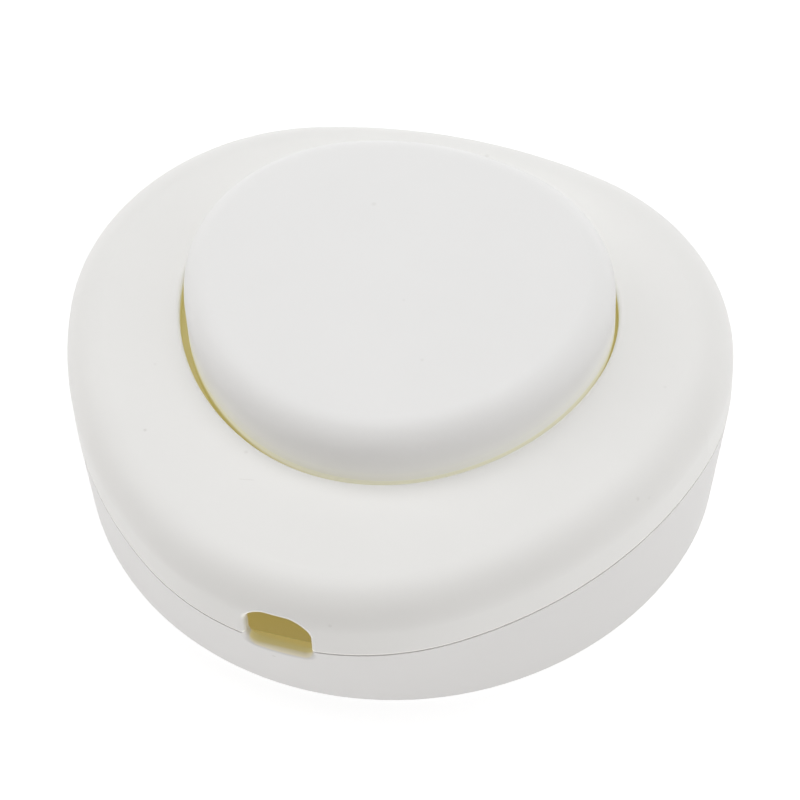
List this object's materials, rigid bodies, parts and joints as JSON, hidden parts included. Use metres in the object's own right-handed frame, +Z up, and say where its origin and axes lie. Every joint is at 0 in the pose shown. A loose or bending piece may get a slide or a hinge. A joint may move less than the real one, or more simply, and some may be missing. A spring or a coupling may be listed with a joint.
{
  "type": "inline foot switch",
  "caption": "Rounded triangular floor switch for a flat lamp cord, with a large domed push button, a cord entry at the nose and one at the rear.",
  "frame": {"origin": "centre of the casing's outline on its flat underside, midway between the two rear corners across; the cord's line runs 1.08 mm beside it", "axes": "+Z up out of the button, the cord parallel to Y with its nose entry toward -Y, X across the two rounded rear corners"},
  "size_m": [0.0676, 0.0629, 0.0275],
  "materials": {
    "base_plastic": "fine satin moulded white",
    "cover_plastic": "fine satin moulded white",
    "button_plastic": "fine satin moulded white",
    "natural_nylon": "natural moulded nylon",
    "insert_plastic": "ivory moulded resin",
    "brass": "stamped and drawn brass",
    "contact_silver": "silver contact alloy",
    "spring_steel": "drawn spring wire",
    "bright_steel": "zinc plated steel"
  },
  "bodies": {
    "casing": {"base": "base_plastic", "cover": "cover_plastic", "switch_cup": "insert_plastic", "guide_lid": "insert_plastic", "rotor_spindle": "bright_steel", "return_spring": "spring_steel", "contact_strip_in": "brass", "contact_strip_out": "brass", "contact_tips": "contact_silver", "terminal_in": "brass", "terminal_out": "brass", "neutral_terminal": "brass", "nose_cord_clamp": "insert_plastic", "rear_cord_clamp": "insert_plastic", "terminal_screws": "bright_steel", "insert_screws": "bright_steel", "clamp_screws": "bright_steel", "cover_screws": "bright_steel"},
    "push_button": {"button": "button_plastic", "plunger": "natural_nylon"},
    "ratchet": {"rotor": "natural_nylon", "contact_bridge": "brass", "contact_spring": "spring_steel"}
  },
  "joints": [
    {"name": "button_press", "type": "slide", "parent": "casing", "child": "push_button", "axis": [0, 0, -1], "range_m": [0, 0.004], "stiffness_N_per_m": 1500, "springref_m": -0.004, "deforming": ["return_spring"]},
    {"name": "ratchet_turn", "type": "hinge", "parent": "casing", "child": "ratchet", "pos_m": [0, 0.0027, 0.0083], "axis": [0, 0, 1], "range_deg": [0, 31]}
  ],
  "couplings": [
    {"joint": "ratchet_turn", "follows": "button_press", "rad_per_m": 135.2}
  ]
}
